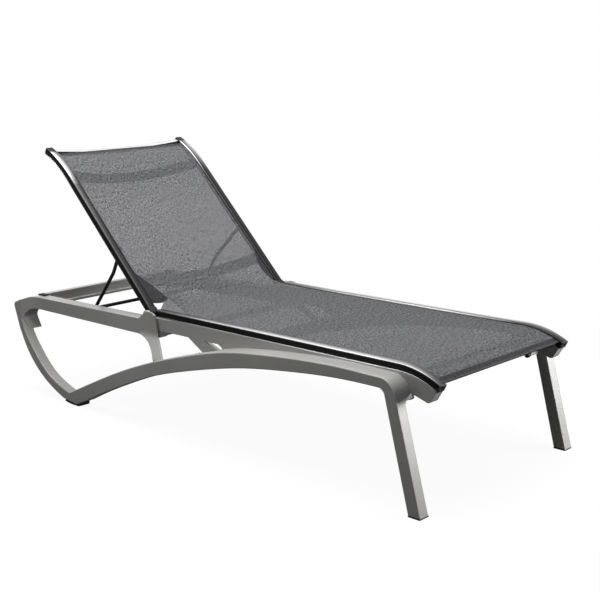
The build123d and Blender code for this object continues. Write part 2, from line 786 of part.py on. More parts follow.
def sling_bend():
    """Free mesh that bridges the hinge, with its two edges curved inward."""
    half = sling_thickness / 2
    angle = radians(back_angle)
    start_x = bend_x + bend_tangent
    centre_z = sheet_z + bend_radius
    edges = []
    ends = []
    for radius in [bend_radius - half, bend_radius + half]:
        points = [(start_x - radius * sin(t), centre_z - radius * cos(t)) for t in [0.0, angle / 2, angle]]
        edges.append(arc_edge(*points))
        ends.append((points[0], points[2]))
    edges += [line_edge(ends[0][0], ends[1][0]), line_edge(ends[0][1], ends[1][1])]
    reach = rail_inner - edge_gap
    band = span(side_face(edges), -reach, reach)
    end_x = on_back(bend_along + bend_tangent, channel_rise)[0]
    middle_x = start_x - bend_radius * sin(angle / 2)
    free = reach - bend_inset + edge_gap
    outline = [Line((start_x, -reach), (start_x, reach))]
    outline += [ThreePointArc((start_x, reach), (middle_x, free), (end_x - sling_thickness, reach))]
    outline += [Line((end_x - sling_thickness, reach), (end_x - sling_thickness, -reach))]
    outline += [ThreePointArc((end_x - sling_thickness, -reach), (middle_x, -free), (start_x, -reach))]
    return band & extrude(make_face(Wire(outline)), amount=2 * seat_top)


def seat_keder():
    """Cord in the channel of the seat rail that holds the edge of the mesh."""
    start = bend_x + bend_tangent
    path = Pos(0, channel_y, 0) * seat_path(start, -channel_rise)
    plane = Plane(origin=(start, channel_y, sheet_z), z_dir=(1, 0, 0))
    return sweep(plane * Circle(keder_radius), path=path)


def back_keder():
    """Cord in the channel of the back rail."""
    start = bend_along + bend_tangent
    path = back_path(channel_y, channel_rise, start, back_length)
    (x, z) = on_back(start, channel_rise)
    _, direction, _ = back_place(start)
    plane = Plane(origin=(x, channel_y, z), z_dir=(direction[0], 0, direction[1]))
    return sweep(plane * Circle(keder_radius), path=path)


def hem_bar():
    """Round bar across the front of the seat, under the hem of the mesh."""
    radius = nose_radius + channel_rise - sling_thickness / 2 - hem_bar_radius
    turn = radians(nose_angle) - hem_bar_setback / radius
    x = nose_start + radius * sin(turn)
    z = seat_line - nose_radius + radius * cos(turn)
    return rod((x, -rail_inner, z), (x, rail_inner, z), hem_bar_radius)


# Backrest cross members

def bowed_bar(section, along, front, bow):
    """Bar of a given section that bows away from the sling between the back rails."""
    (x, z), direction, normal = back_place(along)
    ends = []
    for y, dip in [(-rail_mid, 0.0), (0.0, bow), (rail_mid, 0.0)]:
        offset = front - dip
        ends.append((x + offset * normal[0], y, z + offset * normal[1]))
    arc = ThreePointArc(*ends)
    plane = Plane(origin=arc @ 0, x_dir=(direction[0], 0, direction[1]), z_dir=arc % 0)
    bar = sweep(plane * section, path=arc)
    return bar & block(-half_length, half_length, -rail_inner, rail_inner, 0.0, 4 * seat_top)


def brace_section(growth):
    """Flat-oval outline of a brace, grown on every side by a distance."""
    return SlotOverall(brace_width + 2 * growth, brace_thickness + 2 * growth)


def brace(along):
    """Flat-oval tube between the back rails."""
    section = brace_section(0.0) - brace_section(-tube_wall)
    return bowed_bar(section, along, -brace_drop, brace_bow)


def top_bar():
    """Flat tube across the head of the backrest."""
    outer = RectangleRounded(top_bar_width, top_bar_thickness, top_bar_thickness / 3)
    bore = Rectangle(top_bar_width - 2 * top_bar_thickness / 3, top_bar_thickness - 2 * tube_wall)
    return bowed_bar(outer - bore, back_length - top_bar_setback, 0.0, top_bar_bow)


def brace_collar(along):
    """Socket that seats the end of a brace on the inner face of the back rail."""
    section = brace_section(collar_wall) - brace_section(0.0)
    bar = bowed_bar(section, along, -brace_drop, brace_bow)
    return bar & block(-half_length, half_length, rail_inner - collar_length, rail_inner, 0.0, 4 * seat_top)


# Support bail and its racks

def bail_pivot():
    """Pivot of the bail on the back rails, at rest."""
    return on_back(bail_pivot_along, -bail_pivot_drop)


bail_pivot_y = rail_inner - bail_pivot_inset
bail_knee_y = rail_inner - bail_knee_inset
bail_bar_y = rail_inner - bail_bar_inset
rack_inner = bail_bar_y + bail_radius + bail_running_gap


def turn_about(point, centre, angle):
    """Side-view point turned about a centre by an angle about +Y, in degrees."""
    x = point[0] - centre[0]
    z = point[1] - centre[1]
    c = cos(radians(angle))
    s = sin(radians(angle))
    return (centre[0] + x * c + z * s, centre[1] - x * s + z * c)


def bail_bar_place(turn):
    """Centre of the bottom bar when the back has turned by an angle from rest."""
    hinge = (hinge_x, hinge_z)
    swung = turn_about(at(bail_bar_share), bail_pivot(), bail_ratio * turn)
    return turn_about(swung, hinge, turn)


def support_bail():
    """Bent rod with two arms, a bottom bar and two stub ends in the bushes."""
    top = bail_pivot()
    knee = at(bail_knee_share)
    bar = at(bail_bar_share)
    near = [(top[0], -bail_pivot_y, top[1]), (knee[0], -bail_knee_y, knee[1]), (bar[0], -bail_bar_y, bar[1])]
    far = [(x, -y, z) for x, y, z in reversed(near)]
    rounds = [bail_knee_round, bail_bend_round, bail_bend_round, bail_knee_round]
    path = FilletPolyline(*near, *far, radius=rounds)
    plane = Plane(origin=path @ 0, z_dir=path % 0)
    bail = sweep(plane * Circle(bail_radius), path=path)
    for side in [-1, 1]:
        bail += Pos(top[0], side * bail_pivot_y, top[1]) * Sphere(bail_radius)
        stub_end = side * (rail_inner - hinge_washer_clearance)
        bail += rod((top[0], side * bail_pivot_y, top[1]), (top[0], stub_end, top[1]), bail_radius)
    return bail


def bail_bush():
    """Bush on the inner face of the back rail that carries a stub end of the bail."""
    top = bail_pivot()
    outer = rod((top[0], rail_inner - bail_bush_length, top[1]), (top[0], rail_inner, top[1]), bail_bush_radius)
    hole = bail_radius + hinge_pin_clearance
    return outer - rod((top[0], rail_inner - bail_bush_length, top[1]), (top[0], rail_inner, top[1]), hole)


rack_rear = bail_bar_place(rack_notch_turns[0])[0] - rack_end_margin
rack_front = bail_bar_place(rack_notch_turns[-1])[0] + rack_end_margin
rack_low = upper_rail_under_share * seat_top + rack_base_gap


def rack():
    """Rack along the inner face of the upper rail: a trough with notches in its inner wall."""
    floor_top = rack_low + rack_floor_thickness
    body = block(rack_rear, rack_front, rack_inner, upper_inner, rack_low, floor_top)
    body += block(rack_rear, rack_front, rack_inner, rack_inner + rack_wall, rack_low, rack_low + rack_height)
    body += block(rack_rear, rack_front, upper_inner - rack_wall, upper_inner, rack_low, rack_low + rack_height)
    notch_z = bail_bar_share[1] * seat_top + bail_running_gap
    top = rack_low + rack_height
    for turn in rack_notch_turns:
        x = bail_bar_place(turn)[0]
        body -= rod((x, rack_inner, notch_z), (x, rack_inner + rack_wall, notch_z), rack_notch_radius)
        left = x - rack_notch_radius
        right = x + rack_notch_radius
        body -= block(left, right, rack_inner, rack_inner + rack_wall, notch_z, top)
    for x, z in rack_screw_points():
        body -= rod((x, rack_inner, z), (x, upper_inner, z), screw_shank_radius)
        body -= rod((x, rack_inner, z), (x, upper_inner - rack_wall + screw_head_height, z), screw_head_radius)
    return body


def rack_screw_points():
    """Centres of the rack screws in the side view."""
    z = rack_low + rack_height / 2
    middle = (rack_rear + rack_front) / 2
    return [(x, z) for x in [rack_rear + rack_screw_inset, middle, rack_front - rack_screw_inset]]


def rack_screws():
    """Countersunk screws of the rack on one side."""
    seat = upper_inner - rack_wall + screw_head_height
    return [screw(x, z, seat, upper_inner) for x, z in rack_screw_points()]


# Cross members between the side frames

def rear_beam_x():
    """Rear and front faces of the rear cross beam."""
    front = corner_front_share * half_length - corner_round
    return front - rear_beam_thickness, front


def rear_crossbeam():
    """Cross beam at the head end, with a slotted ledge along its foot."""
    rear, front = rear_beam_x()
    low = rear_beam_top - rear_beam_height
    beam = block(rear, front, -half_width, half_width, low, rear_beam_top)
    beam -= block(rear, front - rear_beam_wall, -half_width, half_width, low, rear_beam_top - rear_beam_wall)
    beam += block(front, front + rear_beam_ledge, -half_width, half_width, low, low + rear_beam_ledge_thickness)
    slot_x = front + rear_beam_ledge / 2
    for index in range(rear_slot_count):
        y = (index - (rear_slot_count - 1) / 2) * rear_slot_pitch
        slot = Pos(slot_x, y) * SlotOverall(rear_slot_length, rear_slot_width, rotation=90)
        beam -= Pos(0, 0, low) * extrude(slot, amount=rear_beam_ledge_thickness)
    reach = half_width - rear_beam_end_inset
    return beam & block(-half_length, 0.0, -reach, reach, 0.0, seat_top)


def bumper_pad():
    """Rubber pad on the upper rail that the flat backrest rests on."""
    x = bumper_share * half_length
    top = hinge_z - rail_height / 2 - bumper_gap
    low = upper_rail_top_rear_share * seat_top - edge_round
    y = upper_inner + edge_gap
    pad = block(x - bumper_length / 2, x + bumper_length / 2, y, y + bumper_width, low, top)
    return pad - upper_rail_solid()


def middle_tube():
    """Round tube between the lugs under the seat."""
    tube = rod((tube_x, -beam_inner, tube_z), (tube_x, beam_inner, tube_z), middle_tube_radius)
    bore = middle_tube_radius - middle_tube_wall
    return tube - rod((tube_x, -beam_inner, tube_z), (tube_x, beam_inner, tube_z), bore)


def front_crossbeam():
    """Rectangular tube between the seat beams above the legs."""
    x = front_beam_share * half_length
    low = front_beam_top - front_beam_height
    beam = block(x, x + front_beam_width, -beam_inner, beam_inner, low, front_beam_top)
    wall = front_beam_wall
    high = front_beam_top - wall
    return beam - block(x + wall, x + front_beam_width - wall, -beam_inner, beam_inner, low + wall, high)


def bolt_cap():
    """Plastic cap on the inner end of the leg bolt, on the lug."""
    outer = half_width - lug_inset - loop_thickness
    x = lug_x + lug_length - bolt_cap_setback
    z = bolt_level_share * seat_top
    return fillet_end(rod((x, outer - bolt_cap_length, z), (x, outer, z), bolt_cap_radius), outer - bolt_cap_length)


def fillet_end(solid, y):
    """Round the rim of a solid at one distance from the middle."""
    rims = [e for e in solid.edges() if abs(e.center().Y - y) < edge_round / 2 and e.geom_type == GeomType.CIRCLE]
    return fillet(rims, edge_round)


def foot_pad():
    """Rubber pad that wraps the low corner of the loop."""
    outline = [at(p) for p in foot_pad_shares] + [at(arch_under_shares[0])]
    outline += [at(p) for p in foot_pad_inner_shares]
    pad = span(side_polygon(outline) - loop_face(), loop_inner, half_width)
    return pad.solids().sort_by(SortBy.VOLUME)[-1]


def leg_cap():
    """Plastic cap under the leg."""
    rear = leg_foot_rear_share * half_length
    front = leg_foot_front_share * half_length
    return block(rear, front, loop_inner, half_width, 0.0, pad_thickness)


def group(shapes):
    """Several separate solids and their mirror images as one piece."""
    solids = []
    for shape in shapes:
        solids += list(shape.solids())
        solids += list(mirror(shape, about=Plane.XZ).solids())
    return Compound(children=solids)


left_frame = side_frame()
left_seat_rail = seat_rail()
left_back_rail = back_rail()
left_rack = rack()
upper_brace_along = back_straight + upper_brace_margin
brace_places = [upper_brace_along, lower_brace_along]

pieces = {
    "side_frame_left": left_frame,
    "side_frame_right": mirror(left_frame, about=Plane.XZ),
    "seat_rail_left": left_seat_rail,
    "seat_rail_right": mirror(left_seat_rail, about=Plane.XZ),
    "back_rail_left": left_back_rail,
    "back_rail_right": mirror(left_back_rail, about=Plane.XZ),
    "seat_rail_front_plugs": group([seat_front_plug()]),
    "seat_rail_rear_plugs": group([seat_rear_plug()]),
    "back_rail_caps": group([back_cap()]),
    "hinge_eyes": group([hinge_eye()]),
    "hinge_pins": group([hinge_pin()]),
    "hinge_washers": group([hinge_washer()]),
    "hinge_brackets": group([hinge_bracket()]),
    "bracket_screws": group(bracket_screws()),
    "sling_seat": sling_seat(),
    "sling_bend": sling_bend(),
    "sling_back": sling_back(),
    "seat_keders": group([seat_keder()]),
    "back_keders": group([back_keder()]),
    "hem_bar": hem_bar(),
    "back_top_bar": top_bar(),
    "back_upper_brace": brace(upper_brace_along),
    "back_lower_brace": brace(lower_brace_along),
    "brace_collars": group([brace_collar(along) for along in brace_places]),
    "support_bail": support_bail(),
    "bail_bushes": group([bail_bush()]),
    "rack_left": left_rack,
    "rack_right": mirror(left_rack, about=Plane.XZ),
    "rack_screws": group(rack_screws()),
    "rear_crossbeam": rear_crossbeam(),
    "bumper_pads": group([bumper_pad()]),
    "middle_tube": middle_tube(),
    "front_crossbeam": front_crossbeam(),
    "bolt_caps": group([bolt_cap()]),
    "foot_pads": group([foot_pad()]),
    "leg_caps": group([leg_cap()]),
}

os.makedirs("parts", exist_ok=True)
for name, piece in pieces.items():
    export_step(piece, "parts/" + name + ".step")
    print(name, round(piece.volume), len(piece.solids()), piece.is_valid)
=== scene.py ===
# %% [markdown]
# A sun lounger dressed for the camera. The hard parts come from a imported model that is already
# the right size, so nothing here is scaled or fitted. Each step says what a piece is on the real
# lounger and why its surface is made the way it is.

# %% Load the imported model
import bpy
import numpy as np
from mathutils import Matrix


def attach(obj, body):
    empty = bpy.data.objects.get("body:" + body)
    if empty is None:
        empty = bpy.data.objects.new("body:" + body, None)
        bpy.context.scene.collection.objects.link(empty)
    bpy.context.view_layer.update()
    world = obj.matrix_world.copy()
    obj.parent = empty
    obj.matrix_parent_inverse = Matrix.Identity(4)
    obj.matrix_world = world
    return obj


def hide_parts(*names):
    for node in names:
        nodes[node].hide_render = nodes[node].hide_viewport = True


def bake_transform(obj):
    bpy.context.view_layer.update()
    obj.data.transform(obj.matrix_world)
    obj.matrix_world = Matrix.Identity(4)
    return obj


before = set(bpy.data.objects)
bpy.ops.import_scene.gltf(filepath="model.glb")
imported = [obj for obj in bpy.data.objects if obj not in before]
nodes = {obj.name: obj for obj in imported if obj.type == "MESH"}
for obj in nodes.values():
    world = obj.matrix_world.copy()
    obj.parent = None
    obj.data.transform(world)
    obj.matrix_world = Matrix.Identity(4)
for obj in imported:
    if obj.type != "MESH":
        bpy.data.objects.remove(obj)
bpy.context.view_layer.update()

# %% [markdown]
# The camera stands beyond the foot end, on the sitter's right, a little over a metre above the
# floor. Three angles say where it looks: a turn about the upright axis, a lift above level and a
# slight roll. They give three unit arrows, backwards, across and upward, and those arrows are
# the columns of the camera's own matrix.

# %% Camera directions
turn = np.radians(43.566)
lift = np.radians(12.275)
roll = np.radians(-1.283)
eye = np.array([2.6265, -2.4171, 1.1492])

backwards = np.array([np.sin(turn) * np.cos(lift), -np.cos(turn) * np.cos(lift), np.sin(lift)])
side = np.cross(-backwards, [0.0, 0.0, 1.0])
side /= np.linalg.norm(side)
above = np.cross(side, -backwards)
across = side * np.cos(roll) + above * np.sin(roll)
upward = -side * np.sin(roll) + above * np.cos(roll)
print("camera at", eye, "m, looking down by", round(float(np.degrees(lift)), 1), "degrees")

# %% [markdown]
# A long lens keeps the two sides of the lounger nearly parallel. The middle of the picture is off
# the lens axis, so the lens is shifted instead of turned, which leaves the perspective as it is.
# The lens was measured in picture points, so each value is divided by the picture's width.

# %% Camera
picture_px = 600
sensor_mm = 36.0
focal_px = 1127.77
centre_px = np.array([339.98, 302.79])


def stand(thing, own_x, own_y, own_z, place):
    """Puts a camera or lamp in the scene: its own three axes and its place fill the columns."""
    columns = np.eye(4)
    columns[:3] = np.stack([own_x, own_y, own_z, place], axis=1)
    thing.matrix_world = Matrix(columns.tolist())
    bpy.context.collection.objects.link(thing)


lens = bpy.data.cameras.new("camera")
lens.sensor_fit = "HORIZONTAL"
lens.sensor_width = sensor_mm
lens.lens = focal_px / picture_px * sensor_mm
lens.shift_x = (picture_px / 2 - centre_px[0]) / picture_px
lens.shift_y = (centre_px[1] - picture_px / 2) / picture_px
camera = bpy.data.objects.new("camera", lens)
stand(camera, across, upward, backwards, eye)
bpy.context.scene.camera = camera
print("lens", round(lens.lens, 2), "mm, shift", round(lens.shift_x, 4), round(lens.shift_y, 4))

# %% [markdown]
# A material in Blender is a small graph around one shader. Values that are the same all over the
# surface sit on the shader itself, and only what varies is joined to it. So one helper makes the
# shader with its even values, and two more add a node and join it.

# %% Shader and nodes
def finish_base(name, colour, roughness, metallic=0.0, specular=0.5):
    """A new material with one principled shader, its even values set on its own sockets."""
    material = bpy.data.materials.new(name)
    material.use_nodes = True
    shader = material.node_tree.nodes["Principled BSDF"]
    shader.inputs["Base Color"].default_value = (*colour, 1.0)
    shader.inputs["Roughness"].default_value = roughness
    shader.inputs["Metallic"].default_value = metallic
    shader.inputs["Specular IOR Level"].default_value = specular
    return material, shader


def add_node(owner, kind, settings=None, inputs=None):
    """A node in a material or the world; inputs maps a socket to a value or to an output."""
    node = owner.node_tree.nodes.new(kind)
    for key, value in (settings or {}).items():
        setattr(node, key, value)
    for key, value in (inputs or {}).items():
        if isinstance(value, bpy.types.NodeSocket):
            owner.node_tree.links.new(value, node.inputs[key])
        else:
            node.inputs[key].default_value = value
    return node


def join(owner, output, node, socket):
    """Joins an output to a named socket of a node."""
    owner.node_tree.links.new(output, node.inputs[socket])


print("node helpers ready")

# %% [markdown]
# Most graphs need the same three sums: plain arithmetic, a value moved from one range to another,
# and a blend of two colours. The mix node keeps sockets for every kind of value, so the two
# colours and the blended one have fixed numbers there.

# %% Sums in a graph
mix_first, mix_second, mix_result = 6, 7, 2


def maths(owner, operation, *values):
    """The result of one operation on the values, in their order."""
    inputs = dict(enumerate(values))
    return add_node(owner, "ShaderNodeMath", {"operation": operation}, inputs).outputs[0]


def remap(owner, value, source, target):
    """A value carried in proportion from the source range to the target range, held at its ends."""
    limits = {0: value, 1: source[0], 2: source[1], 3: target[0], 4: target[1]}
    return add_node(owner, "ShaderNodeMapRange", inputs=limits).outputs[0]


def blend_colours(owner, share, first, second):
    """The first colour times one minus the share, plus the second times the share."""
    inputs = {0: share}
    for number, colour in ((mix_first, first), (mix_second, second)):
        inputs[number] = colour if isinstance(colour, bpy.types.NodeSocket) else (*colour, 1.0)
    return add_node(owner, "ShaderNodeMix", {"data_type": "RGBA"}, inputs).outputs[mix_result]


print("colour sockets of the mix node", mix_first, mix_second, mix_result)

# %% [markdown]
# No real surface is one flat tone. A noise measured in the object's own metres stays on the piece
# when it moves, and the same noise can drive tone, roughness and a fine bump, so that all three
# agree. Sharp model edges also catch no light, so the shading normals are rounded there.

# %% Noise and edges
noise_middle = (0.3, 0.7)
edge_samples = 6


def drawn_noise(material, place, per_metre, detail, stretch):
    """Noise at the place times the stretch: a small number draws it out along that axis."""
    drawn = add_node(material, "ShaderNodeMapping", inputs={"Vector": place, "Scale": stretch})
    inputs = {"Vector": drawn.outputs[0], "Scale": per_metre, "Detail": detail}
    return add_node(material, "ShaderNodeTexNoise", inputs=inputs).outputs[0]


def grain(material, per_metre, detail, stretch=(1.0, 1.0, 1.0)):
    """Drawn noise at the object's own coordinates."""
    place = add_node(material, "ShaderNodeTexCoord").outputs["Object"]
    return drawn_noise(material, place, per_metre, detail, stretch)


def vary(material, shader, noise, low, high, roughness_span):
    """Colour between two near tones and roughness between two values, both by one noise."""
    join(material, blend_colours(material, noise, low, high), shader, "Base Color")
    join(material, remap(material, noise, noise_middle, roughness_span), shader, "Roughness")


def soft_edges(material, shader, noise, strength, depth, radius):
    """Fine bump by a noise, over normals rounded at sharp edges to the given radius."""
    rounded = add_node(material, "ShaderNodeBevel", {"samples": edge_samples}, {"Radius": radius})
    inputs = {"Strength": strength, "Distance": depth, "Height": noise,
              "Normal": rounded.outputs[0]}
    bump = add_node(material, "ShaderNodeBump", inputs=inputs)
    join(material, bump.outputs[0], shader, "Normal")


print("most of a noise lies within", noise_middle)

# %% [markdown]
# The side frames are moulded resin in a warm grey, and the plugs, washers and feet are black
# resin or rubber. Mouldings have a fine even grain and a satin sheen. A slow noise moves tone and
# roughness over about 20 centimetres, and a fine one gives a very small bump.

# %% Resin
def moulded_resin(name, low, high, roughness, specular):
    """Moulded plastic: slow noise for tone and roughness, fine noise for the bump."""
    material, shader = finish_base(name, low, roughness, specular=specular)
    drift = grain(material, per_metre=5.0, detail=2.0)
    vary(material, shader, drift, low, high, (roughness - 0.04, roughness + 0.05))
    fine = grain(material, per_metre=1400.0, detail=2.0)
    soft_edges(material, shader, fine, strength=0.12, depth=0.00012, radius=0.0025)
    return material


resin = moulded_resin("frame_resin", low=(0.300, 0.297, 0.282), high=(0.336, 0.332, 0.315),
                      roughness=0.34, specular=0.5)
black_resin = moulded_resin("black_resin", low=(0.012, 0.012, 0.013), high=(0.018, 0.018, 0.019),
                            roughness=0.46, specular=0.2)
plug_resin = moulded_resin("plug_resin", low=(0.020, 0.020, 0.021), high=(0.030, 0.030, 0.031),
                           roughness=0.34, specular=0.3)
foot_rubber = moulded_resin("foot_rubber", low=(0.010, 0.010, 0.010), high=(0.016, 0.016, 0.016),
                            roughness=0.72, specular=0.2)
print("made", resin.name, black_resin.name, plug_resin.name, foot_rubber.name)

# %% [markdown]
# The cross bars are drawn aluminium, and the small hinge parts are plated steel. Drawing leaves
# faint lines along a bar, so its noise is drawn out along the bar, and it moves tone, roughness
# and a bump of less than a tenth of a millimetre.

# %% Drawn metal
lines_per_metre = 260.0
lines_detail = 3.0
line_bump = {"strength": 0.10, "depth": 0.00008}
along_y = (1.0, 0.03, 1.0)


def drawn_metal(name, low, high, roughness, stretch):
    """Bare metal: one noise, drawn out along the bar, for tone, roughness and bump."""
    material, shader = finish_base(name, low, roughness, metallic=1.0)
    lines = grain(material, lines_per_metre, lines_detail, stretch)
    vary(material, shader, lines, low, high, (roughness - 0.05, roughness + 0.06))
    soft_edges(material, shader, lines, radius=0.0012, **line_bump)
    return material


silver_across = drawn_metal("silver_bar", low=(0.60, 0.60, 0.60), high=(0.72, 0.72, 0.72),
                            roughness=0.30, stretch=along_y)
zinc = drawn_metal("zinc_steel", low=(0.42, 0.42, 0.42), high=(0.60, 0.60, 0.60),
                   roughness=0.34, stretch=(1.0, 1.0, 1.0))
print("made", silver_across.name, zinc.name)

# %% [markdown]
# A satin rail shows one bright streak along its crown and stays dark at its sides and towards its
# ends. That streak is a painted highlight: each rail carries a painted highlight value, worked out
# with its shape further down, and the metal's colour is set in that measure. The value belongs to
# the place on the rail, so the painted streak stays where it is from every side.

# %% Rail metal with a painted highlight
def rail_metal():
    """Extruded metal: its tone is the rail's painted highlight value times a line noise close to 1.
    """
    roughness_span = (0.26, 0.36)
    material, shader = finish_base("rail_metal", (0.5, 0.5, 0.5), roughness=0.30, metallic=1.0)
    # the painted highlight value of each rail point sets the metal's colour
    bright = add_node(material, "ShaderNodeAttribute", {"attribute_name": "bright"}).outputs["Fac"]
    lines = grain(material, lines_per_metre, lines_detail, stretch=(0.04, 1.0, 0.04))
    level = maths(material, "MULTIPLY", bright, remap(material, lines, noise_middle, (0.94, 1.06)))
    grey = add_node(material, "ShaderNodeCombineColor", inputs={0: level, 1: level, 2: level})
    join(material, grey.outputs[0], shader, "Base Color")
    join(material, remap(material, lines, noise_middle, roughness_span), shader, "Roughness")
    soft_edges(material, shader, lines, radius=0.0008, **line_bump)
    return material


rail_finish = rail_metal()
print("made", rail_finish.name)

# %% [markdown]
# The support bail is a steel rod with black powder coat, whose faint orange peel shows as small
# uneven glints. The strip pressed into the side of each rail is blacker and duller.

# %% Powder coat
def powder_coat(name, low, high, roughness, specular):
    """Black paint: one noise of about 2 millimetres for tone, roughness and bump."""
    material, shader = finish_base(name, low, roughness, specular=specular)
    peel = grain(material, per_metre=420.0, detail=2.0)
    vary(material, shader, peel, low, high, (roughness - 0.05, roughness + 0.05))
    soft_edges(material, shader, peel, strength=0.18, depth=0.00012, radius=0.0012)
    return material


black_coat = powder_coat("black_coat", low=(0.010, 0.010, 0.011), high=(0.018, 0.018, 0.019),
                         roughness=0.32, specular=0.25)
strip_black = powder_coat("strip_black", low=(0.004, 0.004, 0.004), high=(0.007, 0.007, 0.007),
                          roughness=0.40, specular=0.08)
print("made", black_coat.name, strip_black.name)

# %% [markdown]
# The model's own pieces keep their shape, and each gets the finish that the real one has: grey
# resin for the frames, bare metal for the bars and hinge parts, black for what is small or hidden
# behind the cloth.

# %% Finishes of the model's pieces
def paint(material, *names):
    """Gives model pieces a finish in place of the one they came with."""
    for name in names:
        mesh = nodes[name].data
        mesh.materials.clear()
        mesh.materials.append(material)
    print(material.name, "on", len(names), "pieces")


paint(resin, "side_frame_left", "side_frame_right", "rear_crossbeam")
paint(silver_across, "back_upper_brace", "back_lower_brace", "middle_tube", "front_crossbeam")
paint(black_coat, "support_bail")
paint(zinc, "hinge_brackets", "hinge_pins", "bracket_screws", "rack_screws")
paint(black_resin, "seat_keders", "back_keders", "seat_rail_rear_plugs", "back_rail_caps",
      "hinge_eyes", "hinge_washers", "brace_collars", "bail_bushes", "bolt_caps", "hem_bar",
      "rack_left", "rack_right")
paint(plug_resin, "seat_rail_front_plugs")
paint(foot_rubber, "bumper_pads", "foot_pads", "leg_caps")

# %% [markdown]
# Seen from the side, the cloth and the rails follow the same two lines. One runs up the backrest,
# straight at first and then curling back at the top. The other runs along the seat and curls down
# at the foot end. All measures are in metres and radians, with x towards the foot end, y to the
# left and z up.

# %% Measures of the side view
hinge = np.array([-0.2299726, 0.364])
lean = np.radians(45.0)
back_straight = 0.578
back_radius = 0.430
back_turn = np.radians(20.0)
back_end = back_straight + back_radius * back_turn

rail_z = 0.369
rail_y = 0.280
rail_half_w, rail_half_h = 0.014, 0.011
foot_end = 0.946
foot_margin = 0.003
nose_radius = 0.281
nose_turn = np.radians(28.5)
nose_x = foot_end - foot_margin - (nose_radius + rail_half_h) * np.sin(nose_turn)
seat_end = nose_x + nose_radius * nose_turn

groove_y = 0.2707
cloth_lift = 0.005
print("back length", round(float(back_end), 3), "nose starts at x", round(float(nose_x), 3))

# %% [markdown]
# Each line is a function of the distance along it and of a height in front of it, towards the
# sitter. A straight part and an arc that starts where it ends need no case by case work: the
# distance is cut at the end of the straight part, and what is left over turns the arc.

# %% Side-view lines
def back_line(along, front):
    """Distance along the back, less its straight part, over the radius is the bend of the arc.
    The front height is added square to the line."""
    along = np.asarray(along, float)
    straight = np.minimum(along, back_straight)
    bent = np.maximum(along - back_straight, 0.0) / back_radius
    angle = lean - bent
    curled_x = back_radius * (np.sin(angle) - np.sin(lean))
    curled_z = back_radius * (np.cos(angle) - np.cos(lean))
    x = hinge[0] - straight * np.cos(lean) + curled_x + front * np.sin(angle)
    z = hinge[1] + straight * np.sin(lean) + curled_z + front * np.cos(angle)
    return np.stack([x, z], axis=-1), angle


def seat_line(along, front):
    """Level up to the nose, then a circle whose centre lies one nose radius below the line.
    The front height lengthens the circle's radius."""
    along = np.asarray(along, float)
    level = np.minimum(along, nose_x)
    bent = np.maximum(along - nose_x, 0.0) / nose_radius
    x = level + (nose_radius + front) * np.sin(bent)
    z = rail_z - nose_radius + (nose_radius + front) * np.cos(bent)
    return np.stack([x, z], axis=-1), bent


print("back top at", back_line(back_end, 0.0)[0], "seat end at", seat_line(seat_end, 0.0)[0])

# %% [markdown]
# The cloth and the rails are both grids of points, so one helper turns a grid into a mesh. Each
# cell of four neighbours becomes one face, and a tube is a grid whose last column joins the first.

# %% Mesh from a grid
def grid_mesh(name, points, materials, material_ids=None, closed=False, uv=None):
    """Faces run from each point to the next column, the next row and back. Material numbers are
    given for one row of faces and repeat in every row."""
    rows, columns, _ = points.shape
    index = np.arange(rows * columns).reshape(rows, columns)
    right = np.roll(index, -1, axis=1) if closed else index[:, 1:]
    left = index if closed else index[:, :-1]
    quads = np.stack([left[:-1], right[:-1], right[1:], left[1:]], axis=-1).reshape(-1, 4)
    mesh = bpy.data.meshes.new(name)
    mesh.from_pydata(points.reshape(-1, 3).tolist(), [], quads.tolist())
    for material in materials:
        mesh.materials.append(material)
    if material_ids is not None:
        face_ids = np.tile(np.asarray(material_ids), rows - 1)
        mesh.polygons.foreach_set("material_index", face_ids.astype(np.int32))
    mesh.polygons.foreach_set("use_smooth", np.full(len(quads), True))
    if uv is not None:
        corner_uv = uv.reshape(-1, 2)[quads.reshape(-1)]
        layer = mesh.uv_layers.new(name="cloth")
        layer.data.foreach_set("uv", corner_uv.astype(np.float32).reshape(-1))
    mesh.update()
    piece = bpy.data.objects.new(name, mesh)
    bpy.context.collection.objects.link(piece)
    print(name, rows, "rows of", columns, "points")
    return piece


def along_points(points):
    """Distance of each point from the first: the running sum of the steps between them."""
    steps = np.linalg.norm(np.diff(points, axis=0), axis=1)
    return np.concatenate([[0.0], np.cumsum(steps)])


# %% [markdown]
# The cloth is one woven mesh, held in the side rails all the way and free only where it bridges
# the hinge. There it flies in a wide arc from the back to the seat, tangent to both. Where the
# cloth lines of back and seat would cross is its corner, and the arc starts and ends at an equal
# reach from that corner.

# %% Sling bridge
bridge_radius = 0.390
bridge_reach = bridge_radius * np.tan(lean / 2)
sheet_z = rail_z + cloth_lift
corner_along = (sheet_z - hinge[1] - cloth_lift * np.cos(lean)) / np.sin(lean)
corner = back_line(corner_along, cloth_lift)[0]


def bridge_lines(t):
    """For t from -1 at the back to 1 at the seat: a point of the free arc, whose angle falls
    evenly from the lean to 0, and a point of the rail line, at the reach times t from the
    corner."""
    angle = lean / 2 * (1 - t)
    arc_x = corner[0] + bridge_reach - bridge_radius * np.sin(angle)
    arc_z = sheet_z + bridge_radius * (1 - np.cos(angle))
    reach = bridge_reach * np.abs(t)
    direction = np.where((t > 0)[:, None], [1.0, 0.0], [-np.cos(lean), np.sin(lean)])
    return np.stack([arc_x, arc_z], axis=-1), corner + reach[:, None] * direction


print("cloth corner at", corner, "bridge reaches", round(float(bridge_reach), 3), "m each way")

# %% [markdown]
# Rows of the cloth run from rail to rail, from the top of the back to the foot end. The value t of
# a row is -1 on the back, 1 on the seat and runs between them on the bridge. Each row has a middle
# point, and an outer one where its side meets the rail.

